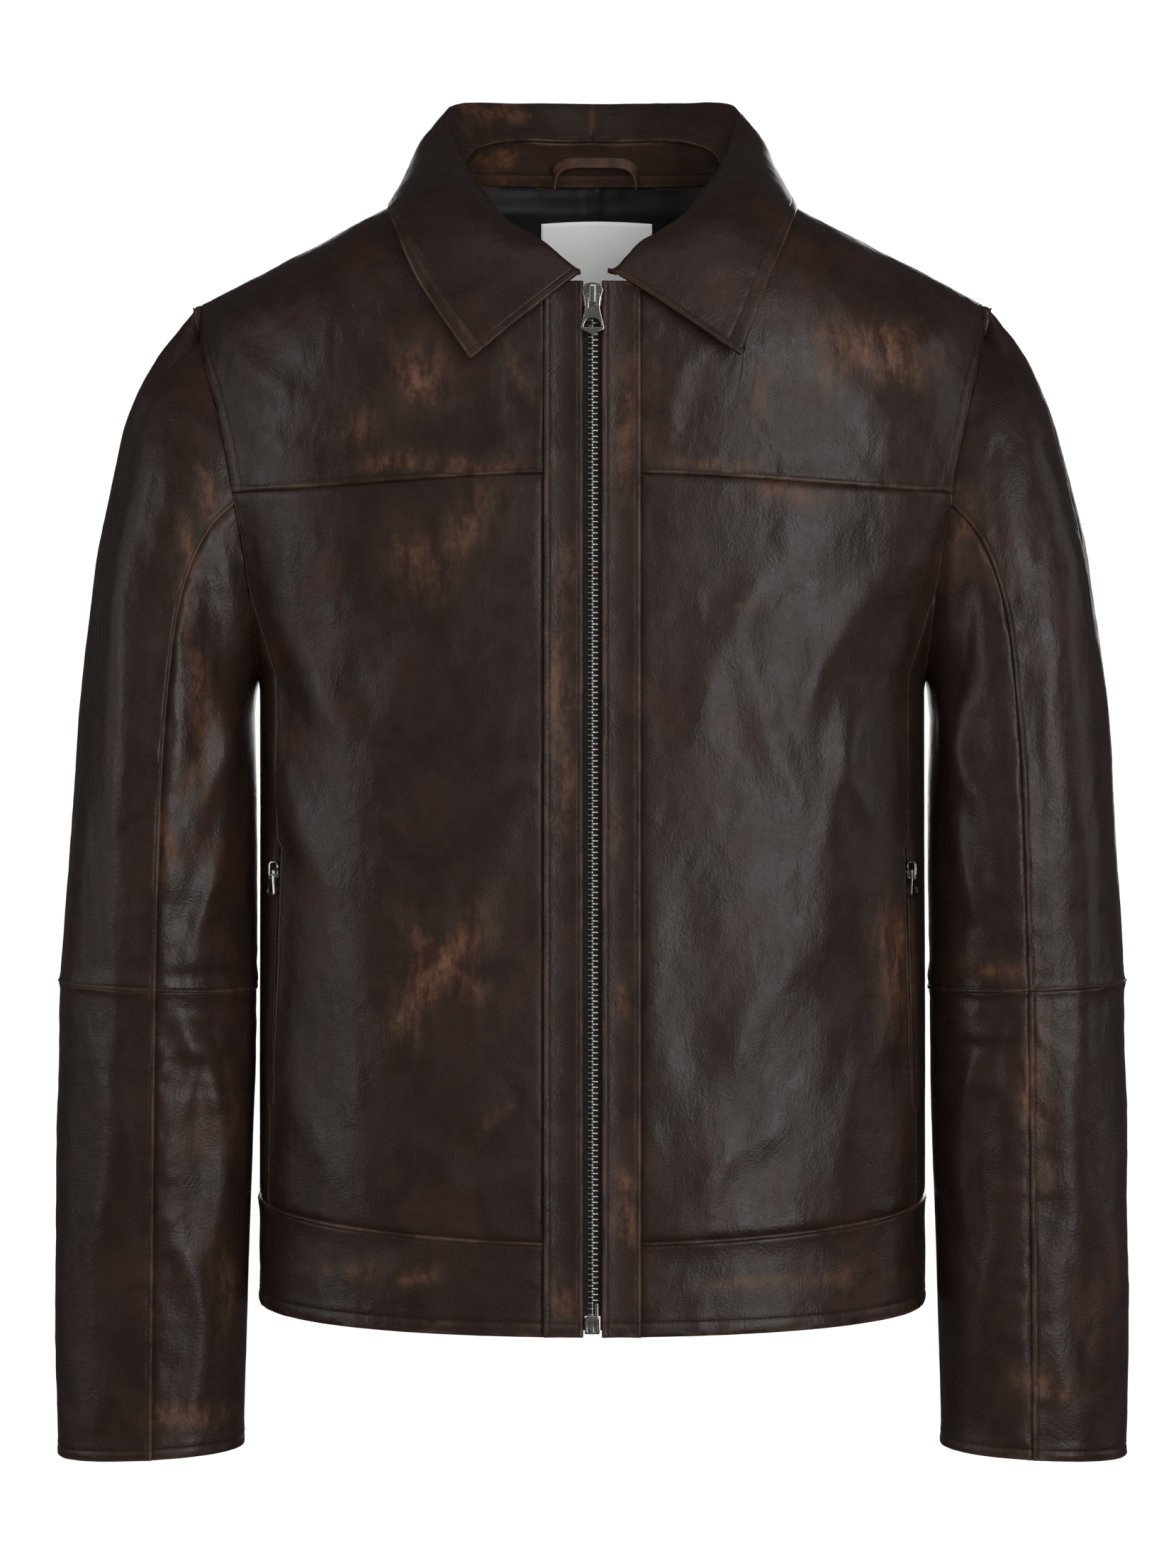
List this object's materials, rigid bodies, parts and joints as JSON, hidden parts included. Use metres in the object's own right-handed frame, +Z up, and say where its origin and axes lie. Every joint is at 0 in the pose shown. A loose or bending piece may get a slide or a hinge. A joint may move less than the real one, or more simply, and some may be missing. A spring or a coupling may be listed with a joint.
{
  "type": "leather riding jacket",
  "caption": "Short zip-front leather jacket with a fold-down collar, front and back yokes, hem band, side-seam pockets and two-piece sleeves, shown as if worn.",
  "frame": {"origin": "under the arch of the hanger loop at the back of the neck, where a hook carries the jacket", "axes": "+Z up, +X to the wearer's left, +Y to the wearer's back"},
  "size_m": [0.6614, 0.2454, 0.8509],
  "materials": {
    "leather": "dark brown, soft, rubbed tan on edges and patches",
    "leather_facing": "brown, rubbed tan where it meets the neck",
    "lining_satin": "smooth black satin",
    "label_satin": "off-white woven satin, blank",
    "pocket_cloth": "matt black twill",
    "zip_tape": "fine herringbone weave",
    "nickel": "bright nickel, lightly worn"
  },
  "bodies": {
    "torso": {"back_panel": "leather", "back_yoke": "leather", "back_hem_band": "leather", "back_lining": "lining_satin", "collar_back": "leather", "neck_facing": "leather_facing", "hanger_loop": "leather", "neck_label": "label_satin", "side_panel_left": "leather", "front_panel_outer_left": "leather", "front_yoke_outer_left": "leather", "hem_band_outer_left": "leather", "front_lining_left": "lining_satin", "pocket_bag_left": "pocket_cloth", "pocket_zip_tape_left": "zip_tape", "pocket_zip_teeth_left": "nickel", "side_panel_right": "leather", "front_panel_outer_right": "leather", "front_yoke_outer_right": "leather", "hem_band_outer_right": "leather", "front_lining_right": "lining_satin", "pocket_bag_right": "pocket_cloth", "pocket_zip_tape_right": "zip_tape", "pocket_zip_teeth_right": "nickel"},
    "front_left": {"front_panel_inner_left": "leather", "front_yoke_inner_left": "leather", "hem_band_inner_left": "leather", "placket_left": "leather", "front_facing_left": "leather", "zip_tape_left": "zip_tape", "zip_teeth_left": "nickel", "collar_wing_left": "leather", "zip_pin": "nickel"},
    "front_right": {"front_panel_inner_right": "leather", "front_yoke_inner_right": "leather", "hem_band_inner_right": "leather", "placket_right": "leather", "front_facing_right": "leather", "zip_tape_right": "zip_tape", "zip_teeth_right": "nickel", "collar_wing_right": "leather", "zip_box": "nickel"},
    "zip_slider": {"zip_slider": "nickel"},
    "zip_pull": {"zip_pull": "nickel"},
    "pocket_slider_left": {"pocket_slider_left": "nickel"},
    "pocket_pull_left": {"pocket_pull_left": "nickel"},
    "upper_sleeve_left": {"upper_sleeve_outer_left": "leather", "upper_sleeve_under_left": "leather", "upper_sleeve_lining_left": "lining_satin"},
    "lower_sleeve_left": {"lower_sleeve_outer_left": "leather", "lower_sleeve_under_left": "leather", "lower_sleeve_lining_left": "lining_satin"},
    "pocket_slider_right": {"pocket_slider_right": "nickel"},
    "pocket_pull_right": {"pocket_pull_right": "nickel"},
    "upper_sleeve_right": {"upper_sleeve_outer_right": "leather", "upper_sleeve_under_right": "leather", "upper_sleeve_lining_right": "lining_satin"},
    "lower_sleeve_right": {"lower_sleeve_outer_right": "leather", "lower_sleeve_under_right": "leather", "lower_sleeve_lining_right": "lining_satin"}
  },
  "joints": [
    {"name": "front_right_swing", "type": "hinge", "parent": "torso", "child": "front_right", "pos_m": [-0.16, -0.179, -0.719], "axis": [-0.1487, 0, -0.9889], "range_deg": [0, 60], "deforming": ["collar_wing_right", "zip_teeth_right", "zip_tape_right"]},
    {"name": "front_left_swing", "type": "hinge", "parent": "torso", "child": "front_left", "pos_m": [0.16, -0.179, -0.719], "axis": [-0.1487, 0, 0.9889], "range_deg": [0, 60], "deforming": ["collar_wing_left", "zip_teeth_left", "zip_tape_left"]},
    {"name": "zip_slide", "type": "slide", "parent": "front_right", "child": "zip_slider", "axis": [0, -0.035, -0.9994], "range_m": [0, 0.57]},
    {"name": "zip_pull_swing", "type": "hinge", "parent": "zip_slider", "child": "zip_pull", "pos_m": [0, -0.18204, -0.10014], "axis": [-1, 0, 0], "range_deg": [0, 120]},
    {"name": "pocket_slide_left", "type": "slide", "parent": "torso", "child": "pocket_slider_left", "axis": [0.0311, 0.0351, -0.9989], "range_m": [0, 0.125], "deforming": ["pocket_zip_teeth_left"]},
    {"name": "pocket_pull_left_swing", "type": "hinge", "parent": "pocket_slider_left", "child": "pocket_pull_left", "pos_m": [0.19555, -0.12988, -0.44512], "axis": [-0.4683, -0.8824, -0.0456], "range_deg": [0, 45]},
    {"name": "pocket_slide_right", "type": "slide", "parent": "torso", "child": "pocket_slider_right", "axis": [-0.0311, 0.0351, -0.9989], "range_m": [0, 0.125], "deforming": ["pocket_zip_teeth_right"]},
    {"name": "pocket_pull_right_swing", "type": "hinge", "parent": "pocket_slider_right", "child": "pocket_pull_right", "pos_m": [-0.19555, -0.12988, -0.44512], "axis": [-0.4683, 0.8824, 0.0456], "range_deg": [0, 45]},
    {"name": "shoulder_left", "type": "hinge", "parent": "torso", "child": "upper_sleeve_left", "pos_m": [0.248, -0.07, -0.098], "axis": [0, -1, 0], "range_deg": [0, 60]},
    {"name": "elbow_left", "type": "hinge", "parent": "upper_sleeve_left", "child": "lower_sleeve_left", "pos_m": [0.27, -0.135, -0.5155], "axis": [-1, 0, 0], "range_deg": [0, 75]},
    {"name": "shoulder_right", "type": "hinge", "parent": "torso", "child": "upper_sleeve_right", "pos_m": [-0.248, -0.07, -0.098], "axis": [0, 1, 0], "range_deg": [0, 60]},
    {"name": "elbow_right", "type": "hinge", "parent": "upper_sleeve_right", "child": "lower_sleeve_right", "pos_m": [-0.27, -0.135, -0.5155], "axis": [-1, 0, 0], "range_deg": [0, 75]}
  ],
  "couplings": [
    {"joint": "front_left_swing", "follows": "front_right_swing", "ratio": 1},
    {"joint": "zip_slide", "follows": "front_right_swing", "m_per_rad": 0.54}
  ]
}
